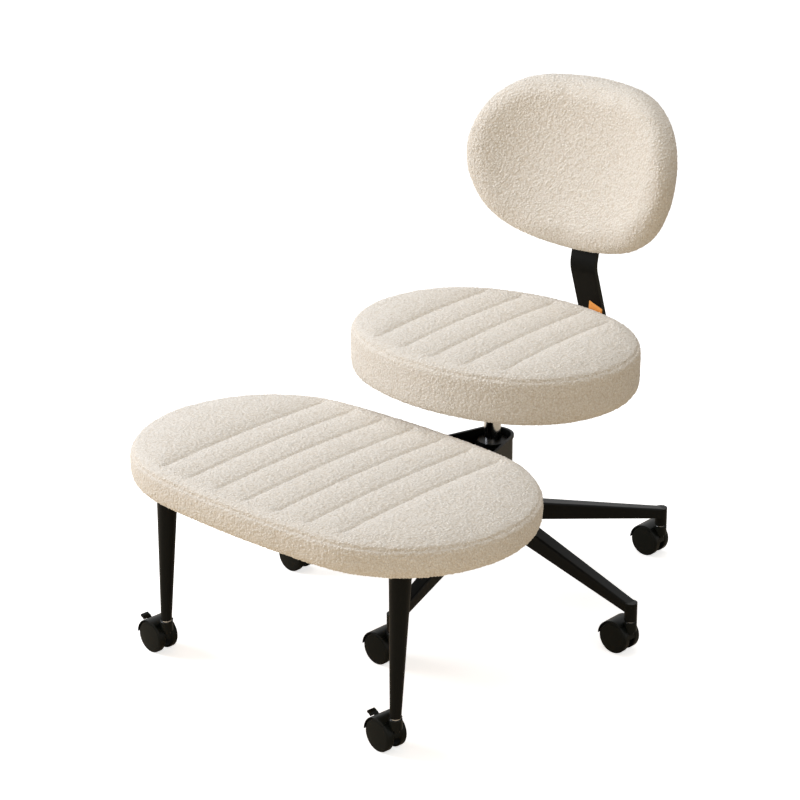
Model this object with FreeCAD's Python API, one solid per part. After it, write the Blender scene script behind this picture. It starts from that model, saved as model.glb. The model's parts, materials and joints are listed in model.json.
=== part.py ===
import FreeCAD
import Part
import math
import os

# Cross-legged swivel chair: seat and backrest on a gas lift, a five-armed caster base, and a padded
# footrest that swings round the same column on its own legs. Millimetres and degrees. +Z is up, the
# origin is on the floor on the column's axis, and the sitter faces -Y.

# Fits and clearances
RUN = 0.05
PASS_GAP = 0.3
POCKET_GAP = 0.2
HOLE_GAP = 0.2

# Casters
WHEEL_R = 27.0
WHEEL_W = 12.6
WHEEL_WALL = 3.0
WHEEL_EDGE_R = 2.5
WHEEL_CAP_R = 23.5
WHEEL_CAP_RISE = 0.8
WHEEL_DOME = 1.2
WHEEL_HUB_R = 6.5
WHEEL_GAP = 0.5
AXLE_R = 3.0
AXLE_CUT = 4.0
WEB_T = 13.0
TRAIL = 21.5
HOOD_GAP = 0.6
HOOD_WALL = 1.8
HOOD_LIP = 0.5
HOOD_EDGE_R = 1.2
HOOD_BACK = 176.0
HOOD_FRONT = 58.0
HOOD_BOSS_H = 16.0
HOOD_DECK = 57.4
HOOD_BOSS_R = 10.5
WEB_INSET = 1.0
STEM_R = 5.5
STEM_DOWN = 20.0
STEM_UP = 20.0
COLLAR_R = 8.5
COLLAR_T = 2.0
BASE_TURNS = (-4.0, -5.0, -3.0, -2.0, -4.0)
FOOT_TURNS = (-9.0, -6.0)

# Brake lever of a footrest caster
BRAKE_ANGLE = 136.0
BRAKE_PIVOT = 19.0
BRAKE_EYE_R = 4.0
BRAKE_PIN_R = 1.5
BRAKE_T = 3.6
BRAKE_STEM_W = 7.4
BRAKE_W = 14.0
BRAKE_LEN = 9.5
BRAKE_CURL = 2.5
BRAKE_TAB_GAP = 1.6
BRAKE_SHIFT = -4.0
BRAKE_SWING = 16.0

# Star base
ARM_COUNT = 5
ARM_FIRST = 206.6
ARM_REACH = 326.0
ARM_RISE = 70.2
ARM_ROOT_W = 28.0
ARM_ROOT_H = 34.3
ARM_END_W = 21.0
ARM_END_H = 18.0
ARM_EDGE_R = 3.0
BOSS_R = 10.5
BOSS_H = 31.6
HUB_R = 37.0
HUB_H = 70.0
HUB_EDGE_R = 3.0
HUB_LIP = 2.0

# Gas lift
TUBE_R = 25.0
TUBE_WALL = 2.0
TUBE_FLOOR = 3.0
TUBE_BELOW_RIM = 12.5
GUIDE_LEN = 70.0
GUIDE_LIP = 3.0
CYL_R = 14.0
CYL_WALL = 1.5
CYL_FOOT = 8.0
CYL_CAP = 12.0
CYL_PARK = 6.0
ROD_R = 5.0
ROD_COLLAR_R = 9.0
ROD_COLLAR_T = 4.0
ROD_TAIL = 5.0
PISTON_T = 12.0
PISTON_PARK = 4.0
WASHER_R = 12.0
WASHER_T = 4.0
CLIP_R = 9.0
CLIP_T = 1.5
BUTTON_R = 3.0
BUTTON_HEAD_R = 4.0
BUTTON_HEAD_T = 4.0
BUTTON_STAND = 5.0

# Footrest arm and its bush on the column
SLEEVE_H = 67.4
SLEEVE_WALL = 4.0
TRAY_R = 34.0
TRAY_WALL = 3.0
TRAY_H = 50.0
TRAY_FLARE = 17.0
TRAY_LEN = 330.0
TRAY_LIP = 2.0
TRAY_LIP_H = 4.0
FLANGE_W = 16.0
FLANGE_START = 215.0
FLANGE_T = 3.0
BUSH_LIP_R = 33.0
BUSH_LIP_T = 3.0
BUSH_BELOW_TUBE = 3.0

# Footrest
FOOT_TURN = -2.7
FOOT_Y = -388.0
FOOT_A = 359.0
FOOT_B = 218.0
FOOT_SIDE_BOW = 7.0
FOOT_EDGE_H = 59.5
FOOT_CROWN = 6.0
FOOT_BOARD_T = 12.0
FOOT_ABOVE_RIM = 12.0
FOOT_BOARD_MARGIN = 22.0
FOOT_CHANNELS = 7
LEG_END_IN = 110.3
LEG_SIDE_IN = 76.5
LEG_SHIFT = 9.2
LEG_TOP_SHIFT = 3.0
LEG_LEAN_Y = 20.0
LEG_TOP_R = 17.5
LEG_FOOT_R = 8.8
LEG_FOOT_EDGE = 1.5
LEG_PLATE_R = 29.0
LEG_PLATE_T = 4.0
SCREW_R = 2.4
SCREW_HEAD_R = 3.8
SCREW_HEAD_T = 2.6
LEG_SCREWS = 3
LEG_SCREW_R = 23.5
TRAY_SCREWS = (235.0, 310.0)

# Seat
SEAT_CLEAR = 20.0
SEAT_Y = 2.4
SEAT_A = 250.5
SEAT_B = 194.5
SEAT_SIDE_BOW = 13.5
SEAT_EDGE_H = 89.0
SEAT_CROWN = 6.0
SEAT_BOARD_T = 12.0
SEAT_BOARD_MARGIN = 30.0
SEAT_CHANNELS = 5
CHANNEL_PITCH = 62.0
CHANNEL_R = 5.0
CHANNEL_DEPTH = 2.5
CHANNEL_RUN_OUT = 1.1
PAD_TOP_R = 12.0
PAD_BOTTOM_R = 16.0
PAD_SIDE_SWELL = 1.5
PAD_CROWN_STEPS = (0.04, 0.18, 0.4, 0.7)
PLATE_X = 190.0
PLATE_Y = 118.0
PLATE_T = 3.0
HOUSING_X = 92.0
HOUSING_Y = 54.0
HOUSING_H = 43.0
HOUSING_WALL = 3.0
SOCKET_R = 19.0
SOCKET_DROP = 16.0
CYL_BELOW_SEAT = 27.0
BOLT_R = 3.9
BOLT_HEAD_R = 6.5
BOLT_HEAD_T = 5.0
BOLT_GRIP = 10.0
BOLT_X = 78.0
BOLT_Y = 42.0
TAG_X = 68.0
TAG_W = 32.0
TAG_T = 2.4
TAG_ABOVE = 10.0
TAG_BELOW = 16.0
TAG_CORNER_R = 6.0

# Height lever
LEVER_T = 5.0
LEVER_W = 14.0
LEVER_PIVOT_X = -30.0
LEVER_PIN_R = 3.0
LEVER_EYE_R = 6.5
LEVER_INNER_X = 9.0
LEVER_KNEE_X = -58.0
LEVER_DROP_X = -84.0
LEVER_DROP = 18.0
LEVER_OUTER_X = -140.0
LEVER_BEND_R = 14.0
LEVER_GAP = 0.3
LEVER_SLOT_Z = 5.0
LEVER_SLOT_Y = 1.5
GRIP_LEN = 44.0
GRIP_W = 26.0
GRIP_T = 12.0
GRIP_CAP = 6.0
GRIP_EDGE_R = 4.0

# Backrest and its bar
BACK_Y = 255.5
BACK_UP = 220.0
BACK_LEAN = 12.5
BACK_A = 205.0
BACK_B = 145.5
BACK_WIDEST_UP = 2.0
BACK_TOP_BOW = 3.5
BACK_LOW_BOW = 13.5
BACK_T = 63.0
BACK_CROWN = 3.0
BACK_WRAP_R = 395.0
BACK_SECTIONS = 8
BACK_END_ANGLE = 86.0
BACK_BOARD_X = 122.0
BACK_BOARD_Z = 82.0
BACK_BOARD_T = 10.0
BACK_PANEL_T = 10.0
BAR_W = 51.0
BAR_T = 8.0
BAR_START = 66.0
BAR_REACH = 297.0
BAR_KNEE = 175.0
BAR_TOP = 57.0
BAR_FOOT_R = 30.0
BAR_KNEE_R = 45.0
BAR_BOLT_X = 15.0
BAR_BOLTS_Y = (84.0, 142.0)
BACK_BOLTS_Z = (-22.0, 34.0)

# Outlines and places, worked out from the sizes above
foot_end_r = FOOT_B - FOOT_SIDE_BOW
seat_end_r = SEAT_B - SEAT_SIDE_BOW
back_top_r = BACK_B - BACK_WIDEST_UP - BACK_TOP_BOW
back_low_r = BACK_B + BACK_WIDEST_UP - BACK_LOW_BOW
leg_x = FOOT_A - LEG_END_IN
leg_y = FOOT_Y - FOOT_B + LEG_SIDE_IN

# Levels above the floor, worked out from the sizes above
drum_in = WHEEL_R + HOOD_GAP
drum_out = drum_in + HOOD_WALL
wheel_in = WEB_T / 2 + WHEEL_GAP
wheel_out = wheel_in + WHEEL_W
hood_half = wheel_out + HOOD_LIP
boss_z = HOOD_DECK + PASS_GAP + COLLAR_T
arm_end_top = boss_z + BOSS_H
arm_root_top = arm_end_top + ARM_RISE
hub_top = arm_root_top + HUB_LIP
hub_z = hub_top - HUB_H
sleeve_top = hub_top + SLEEVE_H
tray_z = sleeve_top + PASS_GAP + BUSH_LIP_T
rim_z = tray_z + TRAY_H
tube_top = rim_z - TUBE_BELOW_RIM
foot_z = rim_z + FOOT_ABOVE_RIM
foot_top = foot_z + FOOT_EDGE_H
seat_z = foot_top + FOOT_CROWN + SEAT_CLEAR
seat_top = seat_z + SEAT_EDGE_H
cyl_top = seat_z - CYL_BELOW_SEAT
washer_top = hub_z + TUBE_FLOOR + WASHER_T
collar_top = washer_top + PASS_GAP + ROD_COLLAR_T
cyl_z = collar_top + CYL_PARK
button_top = cyl_top + BUTTON_STAND + BUTTON_HEAD_T
lever_z = button_top + LEVER_GAP + LEVER_T / 2
back_z = seat_top + BACK_UP


def vec(x, y, z):
    return FreeCAD.Vector(x, y, z)


def cylinder(radius, z0, z1, x=0.0, y=0.0):
    return Part.makeCylinder(radius, z1 - z0, vec(x, y, z0))


def ring(outer, inner, z0, z1):
    return cylinder(outer, z0, z1).cut(cylinder(inner, z0, z1))


def cross_pin(radius, x, z, half):
    """A cylinder along Y, centred on the plane y = 0."""
    return Part.makeCylinder(radius, 2 * half, vec(x, -half, z), vec(0, 1, 0))


def box(x0, x1, y0, y1, z0, z1):
    return Part.makeBox(x1 - x0, y1 - y0, z1 - z0, vec(x0, y0, z0))


def fuse(shapes):
    return shapes[0].multiFuse(shapes[1:]).removeSplitter()


def turned(shape, angle, about=(0, 0, 0), axis=(0, 0, 1)):
    copy = shape.copy()
    copy.rotate(vec(*about), vec(*axis), angle)
    return copy


def moved(shape, x, y, z):
    copy = shape.copy()
    copy.translate(vec(x, y, z))
    return copy


def prism_y(edges, half):
    """A solid with its outline in the XZ plane, centred on y = 0."""
    face = Part.Face(Part.Wire(Part.__sortEdges__(edges)))
    return moved(face.extrude(vec(0, 2 * half, 0)), 0, -half, 0)


def arc(a, b, c):
    return Part.Arc(a, b, c).toShape()


def line(a, b):
    return Part.makeLine(a, b)


def polar(centre_x, centre_z, radius, angle):
    turn = math.radians(angle)
    return vec(centre_x + radius * math.cos(turn), 0, centre_z + radius * math.sin(turn))


def arc_xz(centre_x, centre_z, radius, start, end):
    angles = (start, (start + end) / 2, end)
    return arc(*(polar(centre_x, centre_z, radius, a) for a in angles))


def bent_strip(points, radii, thickness, make):
    """Closed outline of a strip of straight runs joined by bends. make turns (u, w) into a 3-D point."""
    sides = {1: [], -1: []}
    heads = []
    for here, there in zip(points, points[1:]):
        heads.append(math.atan2(there[1] - here[1], there[0] - here[0]))
    last = {}
    for side in sides:
        shift = side * thickness / 2
        last[side] = (points[0][0] - shift * math.sin(heads[0]), points[0][1] + shift * math.cos(heads[0]))
    start = dict(last)
    for i, radius in enumerate(radii, start=1):
        turn = (heads[i] - heads[i - 1] + math.pi) % (2 * math.pi) - math.pi
        way = math.copysign(1, turn)
        back = radius * math.tan(abs(turn) / 2)
        u = points[i][0] - back * math.cos(heads[i - 1]) - way * radius * math.sin(heads[i - 1])
        w = points[i][1] - back * math.sin(heads[i - 1]) + way * radius * math.cos(heads[i - 1])
        for side in sides:
            reach = radius - way * side * thickness / 2
            bend = []
            for share in (0, 0.5, 1):
                angle = heads[i - 1] + turn * share - way * math.pi / 2
                bend.append((u + reach * math.cos(angle), w + reach * math.sin(angle)))
            sides[side].append(line(make(*last[side]), make(*bend[0])))
            sides[side].append(arc(*(make(*p) for p in bend)))
            last[side] = bend[2]
    for side in sides:
        shift = side * thickness / 2
        end = (points[-1][0] - shift * math.sin(heads[-1]), points[-1][1] + shift * math.cos(heads[-1]))
        sides[side].append(line(make(*last[side]), make(*end)))
        last[side] = end
    caps = [line(make(*start[1]), make(*start[-1])), line(make(*last[1]), make(*last[-1]))]
    return Part.Face(Part.Wire(Part.__sortEdges__(sides[1] + sides[-1] + caps)))


def on_boss(index):
    """Where the stem of one base caster stands."""
    angle = math.radians(ARM_FIRST + 360.0 / ARM_COUNT * index)
    return ARM_REACH * math.cos(angle), ARM_REACH * math.sin(angle)


def save(name, shape):
    solids = shape.Solids
    whole = solids[0] if len(solids) == 1 else Part.makeCompound(solids)
    whole.exportStep(os.path.join("parts", name + ".step"))
    state = "ok" if whole.isValid() and solids else "NOT VALID"
    print(name, len(solids), "solid", round(whole.Volume / 1000, 2), "cm3", state)


# Casters, modelled with the stem on the Z axis, the wheels trailing towards -X and the axle along Y


def caster_wheel(side):
    """A hollow wheel: tread, domed outer cap and a hub on the axle, open on its inner side."""
    cap_w = WHEEL_W
    rim_w = cap_w - WHEEL_CAP_RISE
    bore = AXLE_R + RUN
    depth = WHEEL_W - AXLE_CUT

    def at(radius, along):
        return vec(radius, side * (wheel_in + along), 0)

    edge = WHEEL_EDGE_R * (1 - math.sqrt(0.5))
    dome_side = at(WHEEL_CAP_R / 2, cap_w + 0.75 * WHEEL_DOME)
    tread_end = at(WHEEL_R, rim_w - WHEEL_EDGE_R)
    edges = [
        arc(at(0, cap_w + WHEEL_DOME), dome_side, at(WHEEL_CAP_R, cap_w)),
        line(at(WHEEL_CAP_R, cap_w), at(WHEEL_CAP_R + WHEEL_CAP_RISE / 2, rim_w)),
        line(at(WHEEL_CAP_R + WHEEL_CAP_RISE / 2, rim_w), at(WHEEL_R - WHEEL_EDGE_R, rim_w)),
        arc(at(WHEEL_R - WHEEL_EDGE_R, rim_w), at(WHEEL_R - edge, rim_w - edge), tread_end),
        line(tread_end, at(WHEEL_R, WHEEL_EDGE_R)),
        arc(at(WHEEL_R, WHEEL_EDGE_R), at(WHEEL_R - edge, edge), at(WHEEL_R - WHEEL_EDGE_R, 0)),
        line(at(WHEEL_R - WHEEL_EDGE_R, 0), at(WHEEL_R - WHEEL_WALL, 0)),
        line(at(WHEEL_R - WHEEL_WALL, 0), at(WHEEL_R - WHEEL_WALL, rim_w - WHEEL_WALL)),
        line(at(WHEEL_R - WHEEL_WALL, rim_w - WHEEL_WALL), at(WHEEL_HUB_R, rim_w - WHEEL_WALL)),
        line(at(WHEEL_HUB_R, rim_w - WHEEL_WALL), at(WHEEL_HUB_R, 0)),
        line(at(WHEEL_HUB_R, 0), at(bore, 0)),
        line(at(bore, 0), at(bore, depth)),
        line(at(bore, depth), at(0, depth)),
        line(at(0, depth), at(0, cap_w + WHEEL_DOME)),
    ]
    face = Part.Face(Part.Wire(edges))
    wheel = face.revolve(vec(0, 0, 0), vec(0, 1, 0), 360)
    if wheel.Volume < 0:
        wheel.reverse()
    return moved(wheel, -TRAIL, 0, WHEEL_R)


def caster_axle():
    return cross_pin(AXLE_R, -TRAIL, WHEEL_R, wheel_in + WHEEL_W - AXLE_CUT - PASS_GAP)


def drum_sector(outer, inner, half):
    """The part of a drum round the axle that the hood covers, from its rear over the top to its front."""
    edges = [
        arc_xz(-TRAIL, WHEEL_R, outer, HOOD_BACK, HOOD_FRONT),
        line(polar(-TRAIL, WHEEL_R, outer, HOOD_FRONT), polar(-TRAIL, WHEEL_R, inner, HOOD_FRONT)),
        arc_xz(-TRAIL, WHEEL_R, inner, HOOD_FRONT, HOOD_BACK),
        line(polar(-TRAIL, WHEEL_R, inner, HOOD_BACK), polar(-TRAIL, WHEEL_R, outer, HOOD_BACK)),
    ]
    return prism_y(edges, half)


def caster_hood(braked):
    """A shell over both wheels with a thick web between them, which holds the axle and the stem."""
    shell = drum_sector(drum_out, drum_in, hood_half)
    rounded = []
    for edge in shell.Edges:
        middle = edge.valueAt((edge.FirstParameter + edge.LastParameter) / 2)
        reach = math.hypot(middle.x + TRAIL, middle.z - WHEEL_R)
        if abs(abs(middle.y) - hood_half) < 1e-6 and reach > drum_out - 1e-3:
            rounded.append(edge)
    shell = shell.makeFillet(HOOD_EDGE_R, rounded)
    web_r = WHEEL_R - WEB_INSET
    half_disc = cross_pin(web_r, -TRAIL, WHEEL_R, WEB_T / 2)
    half_disc = half_disc.common(box(-TRAIL - web_r, web_r, -WEB_T, WEB_T, WHEEL_R, WHEEL_R + web_r))
    rib = drum_sector(drum_in + HOOD_WALL / 2, web_r - WEB_INSET, WEB_T / 2)
    axle_boss = cross_pin(WHEEL_HUB_R, -TRAIL, WHEEL_R, WEB_T / 2)
    socket_floor = HOOD_DECK - STEM_DOWN - PASS_GAP
    post = cylinder(WEB_T / 2, socket_floor - HOOD_WALL, HOOD_DECK)
    boss = cylinder(HOOD_BOSS_R, HOOD_DECK - HOOD_BOSS_H, HOOD_DECK)
    boss = boss.cut(cross_pin(drum_in, -TRAIL, WHEEL_R, hood_half))
    hood = fuse([shell, half_disc, rib, axle_boss, post, boss])
    hood = hood.cut(cross_pin(AXLE_R, -TRAIL, WHEEL_R, WEB_T))
    hood = hood.cut(cylinder(STEM_R + RUN, socket_floor, HOOD_DECK))
    if braked:
        hood = hood.cut(brake_slot())
    return hood


def brake_frame(shape):
    """Puts a shape drawn along +X from the brake's pivot on the hood at the brake's angle."""
    pivot = polar(-TRAIL, WHEEL_R, BRAKE_PIVOT, BRAKE_ANGLE)
    return moved(turned(shape, -BRAKE_ANGLE, axis=(0, 1, 0)), pivot.x, 0, pivot.z)


def brake_slot():
    """Room in the web and hood for the lever's eye and stem over its swing, with the two pin holes."""
    half = BRAKE_STEM_W / 2 + PASS_GAP
    reach = drum_out - BRAKE_PIVOT + HOOD_WALL
    eye = cross_pin(BRAKE_EYE_R + PASS_GAP, 0, 0, half)
    run = box(0, reach, -half, half, -BRAKE_T / 2 - PASS_GAP, BRAKE_T / 2 + PASS_GAP)
    pins = cross_pin(BRAKE_PIN_R + RUN, 0, 0, WEB_T)
    steps = [turned(run, -BRAKE_SWING * share, axis=(0, 1, 0)) for share in (0, 1 / 3, 2 / 3, 1)]
    return brake_frame(fuse([eye, pins] + steps))


def brake_lever():
    stand = drum_out - BRAKE_PIVOT + BRAKE_TAB_GAP
    half = BRAKE_STEM_W / 2
    eye = cross_pin(BRAKE_EYE_R, 0, 0, half)
    pins = cross_pin(BRAKE_PIN_R, 0, 0, WEB_T / 2 - PASS_GAP)
    stem = box(0, stand + BRAKE_T, -half, half, -BRAKE_T / 2, BRAKE_T / 2)
    bend = stand + BRAKE_LEN / 2
    points = [(stand, 0), (bend, 0), (stand + BRAKE_LEN, BRAKE_CURL)]
    near_y = BRAKE_SHIFT - BRAKE_W / 2
    face = bent_strip(points, (BRAKE_LEN / 2,), BRAKE_T, lambda u, w: vec(u, near_y, w))
    tab = face.extrude(vec(0, BRAKE_W, 0))
    return brake_frame(fuse([eye, pins, stem, tab]))


def placed(shape, turn, x, y):
    return moved(turned(shape, turn), x, y, 0)


def caster_stem(x, y):
    pin = cylinder(STEM_R, HOOD_DECK - STEM_DOWN, boss_z + STEM_UP - PASS_GAP, x, y)
    collar = cylinder(COLLAR_R, boss_z - COLLAR_T, boss_z, x, y)
    return fuse([pin, collar])


def stem_socket(x, y):
    return cylinder(STEM_R + RUN, boss_z - COLLAR_T, boss_z + STEM_UP, x, y)


# Star base


def section_x(x, width, z0, z1):
    """Rounded rectangle across X, as lines and quarter arcs."""
    half = width / 2
    r = ARM_EDGE_R
    k = r * (1 - math.sqrt(0.5))
    corners = [(half, z1, -1, -1), (-half, z1, 1, -1), (-half, z0, 1, 1), (half, z0, -1, 1)]
    ends = []
    for y, z, sy, sz in corners:
        flat = vec(x, y + sy * r, z)
        side = vec(x, y, z + sz * r)
        middle = vec(x, y + sy * k, z + sz * k)
        ends.append((side, middle, flat) if sy * sz > 0 else (flat, middle, side))
    edges = []
    for i, (a, b, c) in enumerate(ends):
        edges.append(arc(a, b, c))
        edges.append(line(c, ends[(i + 1) % len(ends)][0]))
    return Part.Wire(edges)


def star_base():
    bore = TUBE_R + RUN
    root_x = (HUB_R + bore) / 2
    hub = cylinder(HUB_R, hub_z, hub_top)
    hub = hub.makeFillet(HUB_EDGE_R, [e for e in hub.Edges if e.Closed])
    root = section_x(root_x, ARM_ROOT_W, arm_root_top - ARM_ROOT_H, arm_root_top)
    end = section_x(ARM_REACH, ARM_END_W, arm_end_top - ARM_END_H, arm_end_top)
    arm = Part.makeLoft([root, end], True, True)
    boss = cylinder(BOSS_R, boss_z, arm_end_top, ARM_REACH)
    pieces = [hub]
    for i in range(ARM_COUNT):
        angle = ARM_FIRST + 360.0 / ARM_COUNT * i
        pieces.append(turned(arm, angle))
        pieces.append(turned(boss, angle))
    base = fuse(pieces).cut(cylinder(bore, hub_z, hub_top))
    for i in range(ARM_COUNT):
        base = base.cut(stem_socket(*on_boss(i)))
    return base


# Gas lift


def lift_outer_tube():
    tube = ring(TUBE_R, TUBE_R - TUBE_WALL, hub_z, tube_top)
    floor = ring(TUBE_R - TUBE_WALL / 2, ROD_R + RUN, hub_z, hub_z + TUBE_FLOOR)
    return fuse([tube, floor])


def lift_guide_bush():
    body = ring(TUBE_R - TUBE_WALL - RUN, CYL_R + RUN, tube_top - GUIDE_LEN, tube_top)
    lip = ring(TUBE_R, CYL_R + RUN, tube_top, tube_top + GUIDE_LIP)
    return fuse([body, lip])


def lift_piston_rod():
    piston_top = cyl_top - CYL_CAP - PISTON_PARK
    rod = cylinder(ROD_R, hub_z - ROD_TAIL, piston_top)
    collar = cylinder(ROD_COLLAR_R, washer_top + PASS_GAP, collar_top)
    piston = cylinder(CYL_R - CYL_WALL - RUN, piston_top - PISTON_T, piston_top)
    return fuse([rod, collar, piston])


def lift_cylinder():
    body = cylinder(CYL_R, cyl_z, cyl_top)
    hollow = cylinder(CYL_R - CYL_WALL, cyl_z + CYL_FOOT, cyl_top - CYL_CAP)
    rod_hole = cylinder(ROD_R + RUN, cyl_z, cyl_z + CYL_FOOT)
    button_hole = cylinder(BUTTON_R + RUN, cyl_top - CYL_CAP, cyl_top)
    return body.cut(hollow).cut(rod_hole).cut(button_hole)


def lift_release_button():
    shank = cylinder(BUTTON_R, cyl_top - CYL_CAP + BUTTON_STAND, button_top - BUTTON_HEAD_T)
    head = cylinder(BUTTON_HEAD_R, button_top - BUTTON_HEAD_T, button_top)
    return fuse([shank, head])


# Padded pieces: a crowned form of stacked ovals, each of four tangent arcs


def side_radius(a, b, end_r):
    """Radius of the long sides that meet the two end arcs smoothly."""
    return ((a - end_r) ** 2 + b * b - end_r * end_r) / (2 * (b - end_r))


def oval(a, b, end_r, inset, z, centre_y):
    side_r = side_radius(a, b, end_r)
    swing = math.degrees(math.atan2(side_r - b, a - end_r))
    arcs = [
        (a - end_r, 0, end_r, -swing, swing),
        (0, b - side_r, side_r, swing, 180 - swing),
        (end_r - a, 0, end_r, 180 - swing, 180 + swing),
        (0, side_r - b, side_r, 180 + swing, 360 - swing),
    ]
    edges = []
    for x, y, radius, start, end in arcs:
        spots = []
        for angle in (start, (start + end) / 2, end):
            turn = math.radians(angle)
            reach = radius - inset
            spots.append(vec(x + reach * math.cos(turn), centre_y + y + reach * math.sin(turn), z))
        edges.append(arc(*spots))
    return Part.Wire(edges)


def oval_plate(a, b, end_r, inset, z0, z1, centre_y):
    return Part.Face(oval(a, b, end_r, inset, z0, centre_y)).extrude(vec(0, 0, z1 - z0))


def pad_levels(b, height, crown):
    """(inset, height) of each oval, from the underside over the swelling side to the crown."""
    levels = []
    for angle in (0, 30, 60, 90):
        turn = math.radians(angle)
        levels.append((PAD_BOTTOM_R * (1 - math.sin(turn)), PAD_BOTTOM_R * (1 - math.cos(turn))))
    levels.append((-PAD_SIDE_SWELL, (PAD_BOTTOM_R + height - PAD_TOP_R) / 2))
    for angle in (0, 30, 60):
        turn = math.radians(angle)
        levels.append((PAD_TOP_R * (1 - math.cos(turn)), height - PAD_TOP_R * (1 - math.sin(turn))))
    for share in PAD_CROWN_STEPS:
        levels.append((PAD_TOP_R + share * (b - PAD_TOP_R), height + crown * (1 - (1 - share) ** 2)))
    return levels


def channel(x, a, b, end_r, top, crown, centre_y):
    """A round groove along Y that follows the crown and runs out at both edges."""
    side_r = side_radius(a, b, end_r)
    swing = math.atan2(side_r - b, a - end_r)
    if abs(x) < side_r * math.cos(swing):
        half = b - side_r + math.sqrt(side_r**2 - x**2)
    else:
        half = math.sqrt(end_r**2 - (abs(x) - a + end_r) ** 2)
    inset = side_r - math.hypot(x, side_r - b)
    share = (inset - PAD_TOP_R) / (b - PAD_TOP_R)
    rise = crown * (1 - (1 - share) ** 2)
    flat = half - PAD_TOP_R
    bow_r = (flat**2 + rise**2) / (2 * rise)
    start = vec(x, centre_y, top + rise + CHANNEL_R - CHANNEL_DEPTH)
    disc = Part.Face(Part.Wire(Part.makeCircle(CHANNEL_R, start, vec(0, 1, 0))))
    swing = CHANNEL_RUN_OUT * math.degrees(math.asin(half / bow_r))
    axis_at = vec(x, centre_y, start.z - bow_r)
    disc.rotate(axis_at, vec(1, 0, 0), -swing)
    groove = disc.revolve(axis_at, vec(1, 0, 0), 2 * swing)
    if groove.Volume < 0:
        groove.reverse()
    return groove


def pad(a, b, end_r, z, height, crown, centre_y, channels):
    wires = [oval(a, b, end_r, inset, z + up, centre_y) for inset, up in pad_levels(b, height, crown)]
    form = Part.makeLoft(wires, True, True)
    for i in range(channels):
        x = CHANNEL_PITCH * (i - (channels - 1) / 2)
        form = form.cut(channel(x, a, b, end_r, z + height, crown, centre_y))
    return form


# Footrest, modelled straight ahead and then turned round the column by its angle in use


def tray_outline(grow, z):
    """Teardrop outline of the arm: a round end on the column and two flared sides."""
    flare = math.radians(TRAY_FLARE)
    radius = TRAY_R + grow
    run = (radius * math.sin(flare) + TRAY_LEN + grow) / math.cos(flare)
    left = vec(radius * math.cos(flare), radius * math.sin(flare), z)
    right = vec(-left.x, left.y, z)
    left_end = vec(left.x + run * math.sin(flare), -TRAY_LEN - grow, z)
    right_end = vec(-left_end.x, left_end.y, z)
    edges = [
        arc(left, vec(0, radius, z), right),
        line(right, right_end),
        line(right_end, left_end),
        line(left_end, left),
    ]
    return Part.Face(Part.Wire(edges))


def tray_slab(grow, z0, z1):
    return tray_outline(grow, z0).extrude(vec(0, 0, z1 - z0))


def tray_screw_spots():
    """Screw places on the flange, both sides, and two on its front."""
    flare = math.radians(TRAY_FLARE)
    middle = TRAY_R + FLANGE_W / 2
    spots = []
    for run in TRAY_SCREWS:
        x = middle * math.cos(flare) + run * math.sin(flare)
        y = middle * math.sin(flare) - run * math.cos(flare)
        spots += [(x, y), (-x, y)]
    front_x = TRAY_R + FLANGE_W
    spots += [(front_x, -TRAY_LEN - FLANGE_W / 2), (-front_x, -TRAY_LEN - FLANGE_W / 2)]
    return spots


def leg_foot(side):
    return side * leg_x + LEG_SHIFT, leg_y


def leg_head(side):
    return side * leg_x + LEG_TOP_SHIFT, leg_y + LEG_LEAN_Y


def leg_screw_spots(side):
    x, y = leg_head(side)
    spots = []
    for i in range(LEG_SCREWS):
        turn = math.radians(90 + 360.0 / LEG_SCREWS * i)
        spots.append((x + LEG_SCREW_R * math.cos(turn), y + LEG_SCREW_R * math.sin(turn)))
    return spots


def footrest_arm():
    """A pressed tray: walls, floor and rim lip, with a higher flange where it carries the footrest."""
    wall = tray_slab(0, tray_z, rim_z).cut(tray_slab(-TRAY_WALL, tray_z + TRAY_WALL, rim_z))
    lip_z = rim_z - TRAY_LIP_H
    lip = tray_slab(TRAY_LIP, lip_z, rim_z).cut(tray_slab(-TRAY_WALL, lip_z, rim_z))
    upstand = tray_slab(0, rim_z, foot_z).cut(tray_slab(-TRAY_WALL, rim_z, foot_z))
    flange_z = foot_z - FLANGE_T
    flange = tray_slab(FLANGE_W, flange_z, foot_z).cut(tray_slab(-TRAY_WALL, flange_z, foot_z))
    far = TRAY_LEN + 2 * FLANGE_W
    under_pad = box(-far, far, -far, -FLANGE_START, tray_z, foot_z)
    arm = fuse([wall, lip, upstand.common(under_pad), flange.common(under_pad)])
    arm = arm.cut(cylinder(TUBE_R + SLEEVE_WALL + RUN, tray_z, tray_z + TRAY_WALL))
    for x, y in tray_screw_spots():
        arm = arm.cut(cylinder(SCREW_R + HOLE_GAP, foot_z - FLANGE_T, foot_z, x, y))
    return arm


def footrest_arm_bush():
    sleeve = ring(TUBE_R + SLEEVE_WALL, TUBE_R + RUN, tray_z - BUSH_LIP_T, tube_top - BUSH_BELOW_TUBE)
    lip = ring(BUSH_LIP_R, TUBE_R + RUN, tray_z - BUSH_LIP_T, tray_z)
    return fuse([sleeve, lip])


def footrest_board():
    top = foot_z + FOOT_BOARD_T
    board = oval_plate(FOOT_A, FOOT_B, foot_end_r, FOOT_BOARD_MARGIN, foot_z, top, FOOT_Y)
    for x, y in tray_screw_spots() + leg_screw_spots(1) + leg_screw_spots(-1):
        board = board.cut(cylinder(SCREW_R, foot_z, top, x, y))
    return board


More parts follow.
